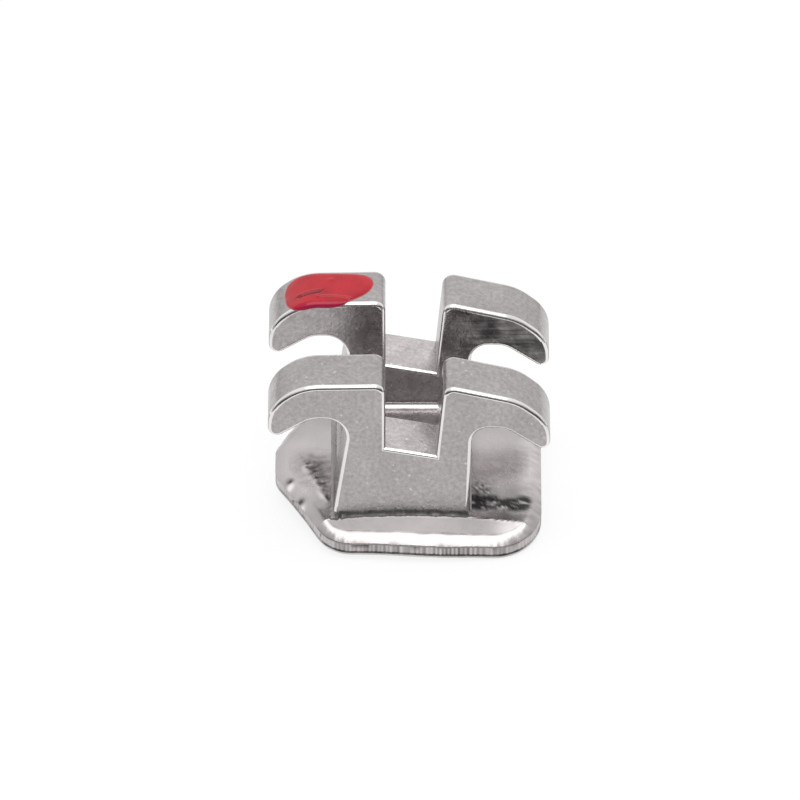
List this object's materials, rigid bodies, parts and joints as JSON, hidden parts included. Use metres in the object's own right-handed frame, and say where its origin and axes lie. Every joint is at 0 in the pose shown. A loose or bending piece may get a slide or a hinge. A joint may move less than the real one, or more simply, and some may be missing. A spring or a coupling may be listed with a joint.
{
  "type": "orthodontic bracket",
  "caption": "Twin edgewise metal orthodontic bracket: hooked tie wings, a square archwire slot, and a curved foil pad with wire gauze for bonding to a tooth.",
  "frame": {"origin": "under the middle of the bounding box, on the surface that the rim of the pad stands on", "axes": "+Y along the archwire slot, +Z away from the tooth, +X to the right when seen along +Y"},
  "size_m": [0.0032, 0.0032, 0.0021],
  "materials": {
    "moulded_steel": "electropolished, finely pitted",
    "foil_steel": "electropolished foil",
    "gauze_steel": "woven wire, crushed at its cut edge",
    "braze": "silver braze, flowed",
    "red_lacquer": "gloss lacquer"
  },
  "bodies": {
    "root": {"tie_wing_body": "moulded_steel", "bonding_pad_foil": "foil_steel", "retention_mesh": "gauze_steel", "braze_fillet": "braze", "colour_dot": "red_lacquer"}
  },
  "joints": []
}
